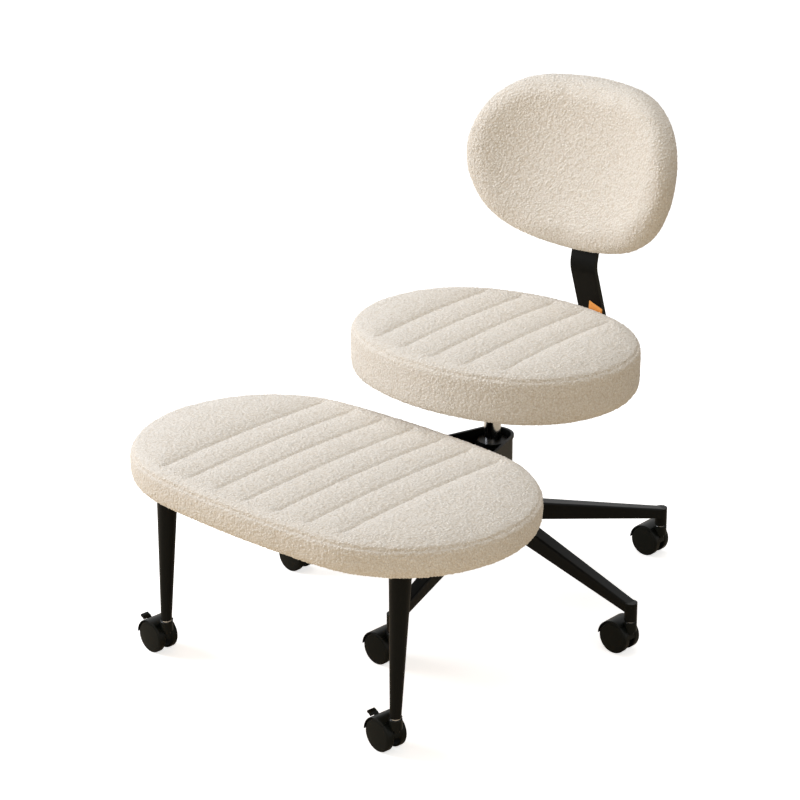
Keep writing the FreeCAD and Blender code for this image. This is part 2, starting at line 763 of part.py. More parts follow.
def footrest_cushion():
    form = pad(FOOT_A, FOOT_B, foot_end_r, foot_z, FOOT_EDGE_H, FOOT_CROWN, FOOT_Y, FOOT_CHANNELS)
    inset = FOOT_BOARD_MARGIN - POCKET_GAP
    return form.cut(oval_plate(FOOT_A, FOOT_B, foot_end_r, inset, foot_z, foot_z + FOOT_BOARD_T, FOOT_Y))


def footrest_leg(side):
    """A tapered tube that leans out to its caster, with a round flange under the board."""
    head_x, head_y = leg_head(side)
    foot_x, foot_y = leg_foot(side)
    up = vec(0, 0, 1)
    head = Part.Wire(Part.makeCircle(LEG_TOP_R, vec(head_x, head_y, foot_z - LEG_PLATE_T), up))
    foot = Part.Wire(Part.makeCircle(LEG_FOOT_R, vec(foot_x, foot_y, boss_z), up))
    leg = Part.makeLoft([foot, head], True, True)
    foot_edges = [e for e in leg.Edges if e.Closed and e.CenterOfMass.z < boss_z + 1]
    leg = leg.makeFillet(LEG_FOOT_EDGE, foot_edges)
    plate = cylinder(LEG_PLATE_R, foot_z - LEG_PLATE_T, foot_z, head_x, head_y)
    whole = fuse([leg, plate]).cut(stem_socket(foot_x, foot_y))
    for x, y in leg_screw_spots(side):
        whole = whole.cut(cylinder(SCREW_R + HOLE_GAP, foot_z - LEG_PLATE_T, foot_z, x, y))
    return whole


def screw(x, y, under):
    """A round-headed wood screw whose head bears up against the level named under."""
    head = cylinder(SCREW_HEAD_R, under - SCREW_HEAD_T, under, x, y)
    shank = cylinder(SCREW_R, under - SCREW_HEAD_T, foot_z + FOOT_BOARD_T - HOLE_GAP, x, y)
    return fuse([head, shank])


def footrest_screws():
    screws = [screw(x, y, foot_z - FLANGE_T) for x, y in tray_screw_spots()]
    for side in (1, -1):
        screws += [screw(x, y, foot_z - LEG_PLATE_T) for x, y in leg_screw_spots(side)]
    return Part.makeCompound(screws)


# Seat


def seat_bolt_spots():
    """(x, y, level that the head bears on) of each bolt into the seat board."""
    spots = [(sx * BOLT_X, sy * BOLT_Y, seat_z - PLATE_T) for sx in (1, -1) for sy in (1, -1)]
    return spots + [(sx * BAR_BOLT_X, y, seat_z - BAR_T) for sx in (1, -1) for y in BAR_BOLTS_Y]


def seat_plate():
    """Flat plate with a welded lever housing, and the socket that the cylinder's top sits in."""
    top = seat_z - PLATE_T
    floor = top - HOUSING_H
    plate = box(-PLATE_X / 2, PLATE_X / 2, -PLATE_Y / 2, PLATE_Y / 2, top, seat_z)
    x, y, w = HOUSING_X / 2, HOUSING_Y / 2, HOUSING_WALL
    housing = box(-x, x, -y, y, floor, top).cut(box(w - x, x - w, w - y, y - w, floor + w, top))
    socket = cylinder(SOCKET_R, floor - SOCKET_DROP, cyl_top)
    whole = fuse([plate, housing, socket])
    whole = whole.cut(cylinder(CYL_R, floor - SOCKET_DROP, cyl_top))
    half = LEVER_W / 2 + LEVER_SLOT_Y
    rise = LEVER_T / 2 + LEVER_SLOT_Z
    whole = whole.cut(box(-x, w - x, -half, half, lever_z - rise, lever_z + rise))
    whole = whole.cut(cross_pin(LEVER_PIN_R + RUN, LEVER_PIVOT_X, lever_z, y))
    for bolt_x, bolt_y, level in seat_bolt_spots():
        if level == top:
            whole = whole.cut(cylinder(BOLT_R + HOLE_GAP, top, seat_z, bolt_x, bolt_y))
    return whole


def height_lever():
    """A bent strip with its pivot pin welded in: the inner end lies over the release button."""
    points = [
        (LEVER_INNER_X, lever_z),
        (LEVER_KNEE_X, lever_z),
        (LEVER_DROP_X, lever_z - LEVER_DROP),
        (LEVER_OUTER_X, lever_z - LEVER_DROP),
    ]
    face = bent_strip(points, (LEVER_BEND_R, LEVER_BEND_R), LEVER_T, lambda u, w: vec(u, -LEVER_W / 2, w))
    strip = face.extrude(vec(0, LEVER_W, 0))
    eye = cross_pin(LEVER_EYE_R, LEVER_PIVOT_X, lever_z, LEVER_W / 2)
    pin = cross_pin(LEVER_PIN_R, LEVER_PIVOT_X, lever_z, HOUSING_Y / 2)
    return fuse([strip, eye, pin])


def height_lever_grip():
    """A rounded plastic paddle pushed over the lever's outer end."""
    z = lever_z - LEVER_DROP
    end = LEVER_OUTER_X - GRIP_CAP
    grip = box(end, end + GRIP_LEN, -GRIP_W / 2, GRIP_W / 2, z - GRIP_T / 2, z + GRIP_T / 2)
    grip = grip.makeFillet(GRIP_EDGE_R, grip.Edges)
    half_w = LEVER_W / 2 + RUN
    half_t = LEVER_T / 2 + RUN
    return grip.cut(box(LEVER_OUTER_X, end + GRIP_LEN, -half_w, half_w, z - half_t, z + half_t))


def seat_board():
    board = oval_plate(SEAT_A, SEAT_B, seat_end_r, SEAT_BOARD_MARGIN, seat_z, seat_z + SEAT_BOARD_T, SEAT_Y)
    for x, y, level in seat_bolt_spots():
        board = board.cut(cylinder(BOLT_R, seat_z, seat_z + SEAT_BOARD_T, x, y))
    return board


def seat_cushion():
    form = pad(SEAT_A, SEAT_B, seat_end_r, seat_z, SEAT_EDGE_H, SEAT_CROWN, SEAT_Y, SEAT_CHANNELS)
    inset = SEAT_BOARD_MARGIN - POCKET_GAP
    return form.cut(oval_plate(SEAT_A, SEAT_B, seat_end_r, inset, seat_z, seat_z + SEAT_BOARD_T, SEAT_Y))


def seat_bolts():
    bolts = []
    for x, y, level in seat_bolt_spots():
        head = cylinder(BOLT_HEAD_R, level - BOLT_HEAD_T, level, x, y)
        shank = cylinder(BOLT_R, level - BOLT_HEAD_T, seat_z + BOLT_GRIP, x, y)
        bolts.append(fuse([head, shank]))
    return Part.makeCompound(bolts)


def seat_tag():
    """A small flat cloth pull tag that stands on the seat's rear side."""
    side_r = side_radius(SEAT_A, SEAT_B, seat_end_r)
    y = SEAT_Y + SEAT_B - side_r + math.sqrt(side_r**2 - TAG_X**2)
    tag = box(-TAG_W / 2, TAG_W / 2, 0, TAG_T, seat_top - TAG_BELOW, seat_top + TAG_ABOVE)
    corners = []
    for edge in tag.Edges:
        spot = edge.CenterOfMass
        through = abs(spot.y - TAG_T / 2) < 1e-6 and abs(abs(spot.x) - TAG_W / 2) < 1e-6
        if through and spot.z > seat_top:
            corners.append(edge)
    tag = tag.makeFillet(TAG_CORNER_R, corners)
    lean = -math.degrees(math.asin(TAG_X / side_r))
    return moved(turned(moved(tag, 0, PASS_GAP, 0), lean), TAG_X, y, 0)


# Backrest, modelled upright with its middle at the origin and its rear towards +Y, then leaned back


def back_placed(shape):
    return moved(turned(shape, -BACK_LEAN, axis=(1, 0, 0)), 0, BACK_Y, back_z)


def back_spot(deep, high):
    """World (y, z) of a point of the upright backrest."""
    lean = math.radians(BACK_LEAN)
    y = BACK_Y + deep * math.cos(lean) + high * math.sin(lean)
    z = back_z + high * math.cos(lean) - deep * math.sin(lean)
    return y, z


def back_reach(x, half_height, end_r):
    """Height of the backrest's outline above or below its widest level."""
    side_r = side_radius(BACK_A, half_height, end_r)
    swing = math.atan2(side_r - half_height, BACK_A - end_r)
    if abs(x) < side_r * math.cos(swing):
        return half_height - side_r + math.sqrt(side_r**2 - x**2)
    return math.sqrt(end_r**2 - (abs(x) - BACK_A + end_r) ** 2)


def back_section(x):
    """Upright section across X: a crowned front, a straight rear and rounded ends."""
    half_t = BACK_T / 2
    high = BACK_WIDEST_UP + back_reach(x, BACK_B - BACK_WIDEST_UP, back_top_r)
    low = BACK_WIDEST_UP - back_reach(x, BACK_B + BACK_WIDEST_UP, back_low_r)
    past = max(0.0, abs(x) - (BACK_A - half_t)) / half_t
    thick = half_t * math.sqrt(1 - past**2)
    deep = math.sqrt(BACK_WRAP_R**2 - x**2) - BACK_WRAP_R
    k = thick * math.sqrt(0.5)
    front, rear = deep - thick, deep + thick
    spots = [
        (front, low + thick),
        (front - BACK_CROWN * thick / half_t, (high + low) / 2),
        (front, high - thick),
        (deep - k, high - thick + k),
        (deep, high),
        (deep + k, high - thick + k),
        (rear, high - thick),
        (rear, low + thick),
        (deep + k, low + thick - k),
        (deep, low),
        (deep - k, low + thick - k),
    ]
    p = [vec(x, y, z) for y, z in spots]
    edges = [
        arc(p[0], p[1], p[2]),
        arc(p[2], p[3], p[4]),
        arc(p[4], p[5], p[6]),
        line(p[6], p[7]),
        arc(p[7], p[8], p[9]),
        arc(p[9], p[10], p[0]),
    ]
    return Part.Wire(edges)


def back_form():
    stations = []
    for i in range(BACK_SECTIONS + 1):
        stations.append(BACK_A * math.sin(math.radians(BACK_END_ANGLE * i / BACK_SECTIONS)))
    stations = [-x for x in reversed(stations[1:])] + stations
    return Part.makeLoft([back_section(x) for x in stations], True, True)


def curved_plate(half_x, half_z, front_r, rear_r):
    """A plate bent round the backrest's upright wrap axis."""
    edges = []
    spots = {}
    for radius in (front_r, rear_r):
        reach = math.asin(half_x / radius)
        for share in (-1, 0, 1):
            x = radius * math.sin(share * reach)
            spots[(radius, share)] = vec(x, radius * math.cos(share * reach) - BACK_WRAP_R, -half_z)
        edges.append(arc(*(spots[(radius, share)] for share in (-1, 0, 1))))
    for share in (-1, 1):
        edges.append(line(spots[(front_r, share)], spots[(rear_r, share)]))
    return Part.Face(Part.Wire(Part.__sortEdges__(edges))).extrude(vec(0, 0, 2 * half_z))


def back_rear():
    return BACK_WRAP_R + BACK_T / 2


def back_bolt_holes(radius, start, end):
    """Cylinders through the backrest's thickness at its bolts, between two depths behind its middle."""
    holes = []
    for x in (BAR_BOLT_X, -BAR_BOLT_X):
        for z in BACK_BOLTS_Z:
            holes.append(Part.makeCylinder(radius, end - start, vec(x, start, z), vec(0, 1, 0)))
    return Part.makeCompound(holes)


def back_cushion():
    depth = BACK_BOARD_T + BACK_PANEL_T
    pocket = curved_plate(
        BACK_BOARD_X + POCKET_GAP, BACK_BOARD_Z + POCKET_GAP, back_rear() - depth, back_rear() + BACK_T
    )
    return back_placed(back_form().cut(pocket))


def back_board():
    rear = back_rear() - BACK_PANEL_T
    board = curved_plate(BACK_BOARD_X, BACK_BOARD_Z, rear - BACK_BOARD_T, rear)
    return back_placed(board.cut(back_bolt_holes(BOLT_R, 0, BACK_T)))


def back_panel():
    panel = curved_plate(BACK_BOARD_X, BACK_BOARD_Z, back_rear() - BACK_PANEL_T, back_rear())
    return back_placed(panel.cut(back_bolt_holes(BOLT_R + HOLE_GAP, 0, BACK_T)))


def back_bar():
    """One flat bar: under the seat, up behind it with a knee, and up the backrest's rear."""
    behind = BACK_T / 2 + RUN + BAR_T / 2
    points = [
        (BAR_START, seat_z - BAR_T / 2),
        (BAR_REACH, seat_z - BAR_T / 2),
        back_spot(behind, -BAR_KNEE),
        back_spot(behind, BAR_TOP),
    ]
    face = bent_strip(points, (BAR_FOOT_R, BAR_KNEE_R), BAR_T, lambda u, w: vec(-BAR_W / 2, u, w))
    bar = face.extrude(vec(BAR_W, 0, 0))
    bar = bar.cut(back_placed(back_bolt_holes(BOLT_R + HOLE_GAP, 0, BACK_T)))
    for x, y, level in seat_bolt_spots():
        if level == seat_z - BAR_T:
            bar = bar.cut(cylinder(BOLT_R + HOLE_GAP, level, seat_z, x, y))
    return bar


def back_bolts():
    head_at = BACK_T / 2 + RUN + BAR_T
    tip = BACK_T / 2 - BACK_PANEL_T - BACK_BOARD_T + HOLE_GAP
    bolts = []
    heads = back_bolt_holes(BOLT_HEAD_R, head_at, head_at + BOLT_HEAD_T).Solids
    shanks = back_bolt_holes(BOLT_R, tip, head_at + BOLT_HEAD_T).Solids
    for head, shank in zip(heads, shanks):
        bolts.append(fuse([head, shank]))
    return back_placed(Part.makeCompound(bolts))


# Everything is written out, one file for each piece


def save_caster(name, braked, turn, x, y, group_turn):
    pieces = {
        "hood": caster_hood(braked),
        "axle": caster_axle(),
        "wheel_a": caster_wheel(1),
        "wheel_b": caster_wheel(-1),
    }
    if braked:
        pieces["brake"] = brake_lever()
    for piece, shape in pieces.items():
        save(name + "_" + piece, turned(placed(shape, turn, x, y), group_turn))


os.makedirs("parts", exist_ok=True)

save("star_base", star_base())
save("base_caster_stems", Part.makeCompound([caster_stem(*on_boss(i)) for i in range(ARM_COUNT)]))
save("lift_outer_tube", lift_outer_tube())
save("lift_guide_bush", lift_guide_bush())
save("lift_thrust_washer", ring(WASHER_R, ROD_R + RUN, washer_top - WASHER_T, washer_top))
save("lift_piston_rod", lift_piston_rod())
save("lift_retaining_clip", ring(CLIP_R, ROD_R, hub_z - PASS_GAP - CLIP_T, hub_z - PASS_GAP))
save("lift_cylinder", lift_cylinder())
save("lift_release_button", lift_release_button())
save("arm_support_sleeve", ring(TUBE_R + SLEEVE_WALL, TUBE_R + RUN, hub_top, sleeve_top))

for index in range(ARM_COUNT):
    boss_x, boss_y = on_boss(index)
    save_caster("base_caster_%d" % (index + 1), False, BASE_TURNS[index], boss_x, boss_y, 0)

save("footrest_arm", turned(footrest_arm(), FOOT_TURN))
save("footrest_arm_bush", footrest_arm_bush())
save("footrest_board", turned(footrest_board(), FOOT_TURN))
save("footrest_cushion", turned(footrest_cushion(), FOOT_TURN))
save("footrest_screws", turned(footrest_screws(), FOOT_TURN))
stems = Part.makeCompound([caster_stem(*leg_foot(side)) for side in (1, -1)])
save("footrest_caster_stems", turned(stems, FOOT_TURN))
for name, side, turn in (("left", 1, FOOT_TURNS[0]), ("right", -1, FOOT_TURNS[1])):
    foot_x, foot_y = leg_foot(side)
    save("footrest_leg_" + name, turned(footrest_leg(side), FOOT_TURN))
    save_caster("footrest_caster_" + name, True, turn - FOOT_TURN, foot_x, foot_y, FOOT_TURN)

save("seat_plate", seat_plate())
save("height_lever", height_lever())
save("height_lever_grip", height_lever_grip())
save("seat_board", seat_board())
save("seat_cushion", seat_cushion())
save("seat_bolts", seat_bolts())
save("seat_tag", seat_tag())
save("back_bar", back_bar())
save("back_board", back_board())
save("back_panel", back_panel())
save("back_cushion", back_cushion())
save("back_bolts", back_bolts())
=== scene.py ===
# %% [markdown]
# # Dressing a cross-legged swivel chair
# The chair's hard parts come in as a imported CAD model with every piece in its place. This lesson gives
# each of them a finish, and models the soft parts: three cushions in a cream looped fabric and a small
# orange pull tag. The CAD model is the frame that everything else is measured from, so it is loaded
# first.

import bmesh
import bpy
import json
import math
from mathutils import Matrix, Vector, noise

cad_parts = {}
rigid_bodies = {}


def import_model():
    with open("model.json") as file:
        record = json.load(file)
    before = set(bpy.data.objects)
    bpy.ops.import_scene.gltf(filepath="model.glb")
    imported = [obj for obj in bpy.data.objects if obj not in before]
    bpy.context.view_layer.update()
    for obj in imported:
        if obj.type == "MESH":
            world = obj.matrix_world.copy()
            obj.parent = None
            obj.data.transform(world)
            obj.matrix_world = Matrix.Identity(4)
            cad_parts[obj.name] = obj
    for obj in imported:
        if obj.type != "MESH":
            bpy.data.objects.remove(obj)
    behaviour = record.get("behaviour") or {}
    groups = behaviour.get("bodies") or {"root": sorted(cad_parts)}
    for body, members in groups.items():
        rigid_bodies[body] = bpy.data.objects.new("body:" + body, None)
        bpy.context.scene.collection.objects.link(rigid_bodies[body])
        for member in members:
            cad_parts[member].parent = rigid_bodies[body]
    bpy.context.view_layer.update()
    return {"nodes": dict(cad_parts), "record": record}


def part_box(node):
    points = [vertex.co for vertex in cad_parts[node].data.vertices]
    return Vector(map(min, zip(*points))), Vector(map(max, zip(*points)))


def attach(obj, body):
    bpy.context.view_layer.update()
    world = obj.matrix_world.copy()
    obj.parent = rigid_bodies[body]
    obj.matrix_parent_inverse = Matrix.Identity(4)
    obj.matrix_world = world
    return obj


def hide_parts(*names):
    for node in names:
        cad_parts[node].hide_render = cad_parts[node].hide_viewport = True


for item in list(bpy.data.objects):
    bpy.data.objects.remove(item)
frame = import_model()
scene = bpy.context.scene

# %% [markdown]
# Blender's shaders work in linear light, while colours are picked on a screen in sRGB. One function turns
# a hex value into linear numbers. Another adds a shader node: it takes the node's settings and, for each
# socket, a value or the output of another node to link. All the finishes are made with these two.

# %% Colours and nodes
MM = 0.001


def linear(code):
    channels = [int(code[i:i + 2], 16) / 255 for i in (1, 3, 5)]
    curve = [c / 12.92 if c <= 0.04045 else ((c + 0.055) / 1.055) ** 2.4 for c in channels]
    return (*curve, 1.0)


def add_node(tree, kind, sockets=None, **settings):
    node = tree.nodes.new(kind)
    for name, value in settings.items():
        setattr(node, name, value)
    for name, value in (sockets or {}).items():
        if isinstance(value, bpy.types.NodeSocket):
            tree.links.new(value, node.inputs[name])
        else:
            node.inputs[name].default_value = value
    return node


def start_finish(name, sockets):
    material = bpy.data.materials.new(name)
    material.use_nodes = True
    tree = material.node_tree
    surface = tree.nodes["Principled BSDF"]
    for socket, value in sockets.items():
        surface.inputs[socket].default_value = value
    place = add_node(tree, "ShaderNodeTexCoord").outputs["Object"]
    return material, tree, surface, place


print("cream in linear light:", [round(c, 3) for c in linear("#e6dfd2")])

# %% [markdown]
# The base, the arm, the legs and the bar are steel with a satin black powder coat. The powder melts into
# a skin with a faint orange peel, a ripple about 1.5 mm across, and here it is drawn at 2 mm so that it
# shows. A wide, weak cloudiness in colour and gloss keeps long flat sides from looking like one flat paint.

# %% Black powder coat
PEEL = 2.0 * MM
CLOUD = 90 * MM


def black_skin(name, dark, light, gloss, peel, lift):
    material, tree, surface, place = start_finish(name, {"Specular IOR Level": 0.11})
    cloud = add_node(tree, "ShaderNodeTexNoise", {"Vector": place, "Scale": 1 / CLOUD, "Detail": 3.0})
    grain = add_node(tree, "ShaderNodeTexNoise", {"Vector": place, "Scale": 1 / peel, "Detail": 2.0})
    tone = add_node(
        tree,
        "ShaderNodeMix",
        {0: cloud.outputs["Fac"], 6: linear(dark), 7: linear(light)},
        data_type="RGBA",
    )
    rough = add_node(
        tree,
        "ShaderNodeMapRange",
        {"Value": grain.outputs["Fac"], "To Min": gloss - 0.05, "To Max": gloss + 0.07},
    )
    ripple = add_node(
        tree, "ShaderNodeBump", {"Height": grain.outputs["Fac"], "Strength": 0.35, "Distance": lift}
    )
    tree.links.new(tone.outputs[2], surface.inputs["Base Color"])
    tree.links.new(rough.outputs[0], surface.inputs["Roughness"])
    tree.links.new(ripple.outputs[0], surface.inputs["Normal"])
    return material


powder_coat = black_skin("powder_coated_steel_black", "#0a0b09", "#111210", 0.36, PEEL, 0.06 * MM)
print("made", powder_coat.name)

# %% [markdown]
# The casters, the lever's grip and the bushes are moulded nylon. Its mould was spark-eroded, so the skin
# has a fine even grain of about half a millimetre, drawn at 1 mm here, and it is a little glossier on
# the wheel caps than the paint. The bolts and screws are black oxide on steel, which has a harder sheen.

# %% Moulded nylon and black oxide
nylon = black_skin("moulded_nylon_black", "#0e100e", "#171a18", 0.32, 1.0 * MM, 0.03 * MM)
black_oxide = black_skin("black_oxide_steel", "#161615", "#232321", 0.30, 0.8 * MM, 0.02 * MM)
print("made", nylon.name, "and", black_oxide.name)

# %% [markdown]
# The lift's cylinder and the caster collars are chromed. Chrome is a mirror, so nearly all that it shows
# is the room, and only faint polishing marks a few millimetres long break its gloss. The piston, the
# axles and the washer are bare turned steel, duller and with finer, closer marks.

# %% Chrome and turned steel


def bright_metal(name, dark, light, gloss, marks):
    material, tree, surface, place = start_finish(name, {"Metallic": 1.0})
    stretch = add_node(tree, "ShaderNodeMapping", {"Vector": place, "Scale": (1.0, 1.0, 6.0)})
    scuff = add_node(
        tree,
        "ShaderNodeTexNoise",
        {"Vector": stretch.outputs[0], "Scale": 1 / marks, "Detail": 4.0, "Roughness": 0.6},
    )
    tone = add_node(
        tree,
        "ShaderNodeMix",
        {0: scuff.outputs["Fac"], 6: linear(dark), 7: linear(light)},
        data_type="RGBA",
    )
    rough = add_node(
        tree,
        "ShaderNodeMapRange",
        {"Value": scuff.outputs["Fac"], "To Min": gloss * 0.7, "To Max": gloss * 1.4},
    )
    tree.links.new(tone.outputs[2], surface.inputs["Base Color"])
    tree.links.new(rough.outputs[0], surface.inputs["Roughness"])
    return material


chrome = bright_metal("polished_chrome", "#c9cacc", "#e0e1e2", 0.14, 4 * MM)
turned_steel = bright_metal("turned_steel_bare", "#9a9b99", "#b4b5b2", 0.28, 1.5 * MM)
print("made", chrome.name, "and", turned_steel.name)

# %% [markdown]
# Under each cushion is a birch plywood board. Its face is rotary-cut veneer, with long wandering grain
# lines some 6 mm apart that run across the seat, and a pale, slightly dry surface.

# %% Birch plywood
VENEER = 6 * MM

plywood, tree, surface, place = start_finish("birch_plywood", {"Roughness": 0.62})
along = add_node(tree, "ShaderNodeMapping", {"Vector": place, "Scale": (0.12, 1.0, 1.0)})
drift = add_node(
    tree, "ShaderNodeTexNoise", {"Vector": along.outputs[0], "Scale": 1 / VENEER, "Detail": 5.0}
)
fibre = add_node(
    tree, "ShaderNodeTexNoise", {"Vector": along.outputs[0], "Scale": 5 / VENEER, "Detail": 2.0}
)
mixed = add_node(
    tree,
    "ShaderNodeMath",
    {0: drift.outputs["Fac"], 1: fibre.outputs["Fac"]},
    operation="MULTIPLY",
)
veneer = add_node(
    tree,
    "ShaderNodeMix",
    {0: mixed.outputs[0], 6: linear("#d8bd92"), 7: linear("#a98457")},
    data_type="RGBA",
)
nap = add_node(
    tree, "ShaderNodeBump", {"Height": mixed.outputs[0], "Strength": 0.3, "Distance": 0.1 * MM}
)
tree.links.new(veneer.outputs[2], surface.inputs["Base Color"])
tree.links.new(nap.outputs[0], surface.inputs["Normal"])
print("made", plywood.name)

# %% [markdown]
# Each CAD piece carries the name of its finish in the record, so one loop gives them all their material.
# The soft pieces are left out of it, because modelled ones will stand in for them. The CAD
# meshes themselves are never touched.

# %% Finish the hard parts
FINISHES = {
    "black_metal": powder_coat,
    "black_plastic": nylon,
    "black_fasteners": black_oxide,
    "chrome": chrome,
    "bare_steel": turned_steel,
    "plywood": plywood,
}
finished = 0
for part in frame["record"]["subparts"]:
    finish = FINISHES.get(part["material_slot"])
    if finish:
        slots = frame["nodes"][part["node"]].material_slots
        for entry in slots:
            entry.material = finish
        finished += 1
print("finished", finished, "CAD pieces")

# %% [markdown]
# The cushions are covered in a looped wool-like pile: cream yarn in tight curls 3 to 5 mm across, matt.
# The curls are in the mesh too, and each point keeps how high it stands as an attribute. From that height
# the colour paints light on the tips of the curls and warm shade in the pits between them, so the painted
# light and shade follow the real bumps. A finer noise stands for the single loops of yarn and moves the
# painted light and shade and the bump, and a soft sheen gives the pale halo that pile has at its edges.

# %% Cream looped pile
CURL = 3.8 * MM
LOOP = 1.5 * MM
# painted light: the colour of the curl tips, lighter than the yarn's own cream; PILE_MID is the yarn itself
PILE_TIP_PAINTED_LIGHT = "#f7f4ee"
PILE_MID = "#ece7df"
# painted shade: the colour of the pits between the curls, darker and warmer than the yarn's own cream
PILE_PIT_PAINTED_SHADE = "#d2c7b7"


def looped_pile(name):
    material, tree, surface, place = start_finish(
        name,
        {"Roughness": 0.92, "Specular IOR Level": 0.2, "Sheen Weight": 0.35, "Sheen Roughness": 0.55},
    )
    surface.inputs["Sheen Tint"].default_value = linear("#fff8ec")
    height = add_node(tree, "ShaderNodeAttribute", attribute_name="curl")
    loops = add_node(
        tree, "ShaderNodeTexNoise", {"Vector": place, "Scale": 1 / LOOP, "Detail": 2.0, "Roughness": 0.6}
    )
    fleck = add_node(
        tree,
        "ShaderNodeMath",
        {0: loops.outputs["Fac"], 1: 0.6, 2: -0.3},
        operation="MULTIPLY_ADD",
    )
    level = add_node(
        tree, "ShaderNodeMath", {0: height.outputs["Fac"], 1: fleck.outputs[0]}, operation="ADD"
    )
    shade = add_node(
        tree,
        "ShaderNodeMapRange",
        {"Value": level.outputs[0], "From Min": -0.1, "From Max": 0.5},
        interpolation_type="SMOOTHSTEP",
    )
    light = add_node(
        tree, "ShaderNodeMapRange", {"Value": level.outputs[0], "From Min": 0.45, "From Max": 1.0}
    )
    # painted shade: the low points of the pile are darkened towards the pit colour
    deep = add_node(
        tree,
        "ShaderNodeMix",
        {0: shade.outputs[0], 6: linear(PILE_PIT_PAINTED_SHADE), 7: linear(PILE_MID)},
        data_type="RGBA",
    )
    # painted light: the high tips of the curls are lightened towards the tip colour
    tone = add_node(
        tree,
        "ShaderNodeMix",
        {0: light.outputs[0], 6: deep.outputs[2], 7: linear(PILE_TIP_PAINTED_LIGHT)},
        data_type="RGBA",
    )
    fuzz = add_node(
        tree, "ShaderNodeBump", {"Height": level.outputs[0], "Strength": 0.8, "Distance": 0.8 * MM}
    )
    tree.links.new(tone.outputs[2], surface.inputs["Base Color"])
    tree.links.new(fuzz.outputs[0], surface.inputs["Normal"])
    return material


pile = looped_pile("looped_pile_cream")
print("made", pile.name, "with curls of", CURL / MM, "mm")

# %% [markdown]
# Seat, footrest and backrest are all foam pads with an outline of four arcs: two tight ends and two long
# sides that meet smoothly. A point on such an outline is found by walking out from the middle in a given
# direction until the end circle or the side circle is met. The backrest's lower half is a little taller
# than its upper half, so it has its own arcs above and below.

# %% The four-arc outline


def side_radius(a, b, end_r):
    return ((a - end_r) ** 2 + b * b - end_r * end_r) / (2 * (b - end_r))


def outline_reach(direction, a, b, end_r, inset):
    across, along = abs(math.cos(direction)), abs(math.sin(direction))
    off = a - end_r
    tight = end_r - inset
    reach = off * across + math.sqrt(max(0.0, tight**2 - (off * along) ** 2))
    long_r = side_radius(a, b, end_r)
    drop = long_r - b
    swing = math.atan2(drop, off)
    if math.atan2(reach * along, reach * across - off) > swing:
        reach = -drop * along + math.sqrt((long_r - inset) ** 2 - (drop * across) ** 2)
    return reach


SEAT = {"a": 250.5 * MM, "b": 194.5 * MM, "end_r": 181 * MM}
FOOT = {"a": 359 * MM, "b": 218 * MM, "end_r": 211 * MM}
for direction in (0, math.pi / 2):
    print("seat reach:", round(outline_reach(direction, **SEAT, inset=0), 4), "m")

# %% [markdown]
# A pad starts as a circle primitive. Its ring of points is laid on the outline at the pad's underside and
# extruded level by level, up the swelling side, over the rounded edge and in across the crown, and the
# last ring is closed with a face. Each pad has its own list of levels, each an inset and a height, and
# starts in the pocket that its board fits. The first shape is a few millimetres small all round, because
# the stuffing will swell it.

# %% Build a pad by extruding rings
PAD_POINTS = 128
BOARD_T = 12 * MM
POCKET_ROOM = 2 * MM


def deselect_all():
    for item in bpy.context.selected_objects:
        item.select_set(False)


def ring_pad(name, reach, levels):
    deselect_all()
    bpy.ops.mesh.primitive_circle_add(vertices=PAD_POINTS, radius=1.0)
    pad = bpy.context.object
    pad.name = pad.data.name = name
    bpy.ops.object.mode_set(mode="EDIT")
    bpy.ops.mesh.select_all(action="SELECT")
    for step, (inset, height) in enumerate(levels):
        if step:
            bpy.ops.mesh.extrude_region()
        mesh = bmesh.from_edit_mesh(pad.data)
        for point in mesh.verts:
            if point.select:
                direction = math.atan2(point.co.y, point.co.x)
                out = reach(direction, inset)
                point.co = Vector((out * math.cos(direction), out * math.sin(direction), height))
        bmesh.update_edit_mesh(pad.data)
    bpy.ops.mesh.edge_face_add()
    bpy.ops.mesh.select_all(action="DESELECT")
    mesh = bmesh.from_edit_mesh(pad.data)
    for edge in mesh.edges:
        if edge.is_boundary:
            edge.select_set(True)
    bmesh.update_edit_mesh(pad.data)
    bpy.ops.mesh.edge_face_add()
    bpy.ops.mesh.select_all(action="SELECT")
    bpy.ops.mesh.normals_make_consistent(inside=False)
    bpy.ops.object.mode_set(mode="OBJECT")
    return pad


def pad_levels(height, crown, b, top_r, bottom_r, shrink, margin):
    pocket = margin - POCKET_ROOM
    levels = [(pocket, BOARD_T + POCKET_ROOM), (pocket, 0.0)]
    for step in range(4):
        turn = math.radians(30 * step)
        levels.append((shrink + bottom_r * (1 - math.sin(turn)), bottom_r * (1 - math.cos(turn))))
    levels.append((shrink, (bottom_r + height - top_r) / 2))
    for step in range(3):
        turn = math.radians(30 * step)
        levels.append((shrink + top_r * (1 - math.cos(turn)), height - top_r * (1 - math.sin(turn))))
    for share in (0.04, 0.15, 0.3, 0.5, 0.75, 0.93):
        rise = crown * (1 - (1 - share) ** 2)
        levels.append((shrink + top_r + share * (b - top_r - shrink), height + rise))
    return levels


print("a ring has", PAD_POINTS, "points")

# %% [markdown]
# Stuffing is a cloth simulation. The pad is remeshed into even squares, the points that are sewn or lie
# on the board are pinned, and pressure inside pushes the rest out for twenty frames. How far a point may
# move is capped, so the pad keeps its size. The result is applied, smoothed and subdivided twice.

# %% Stuff a pad
VOXEL = 6.0 * MM
PRESSURE = 4.0
FRAMES = 20


def apply_all(piece):
    bpy.context.view_layer.objects.active = piece
    for modifier in list(piece.modifiers):
        bpy.ops.object.modifier_apply(modifier=modifier.name)


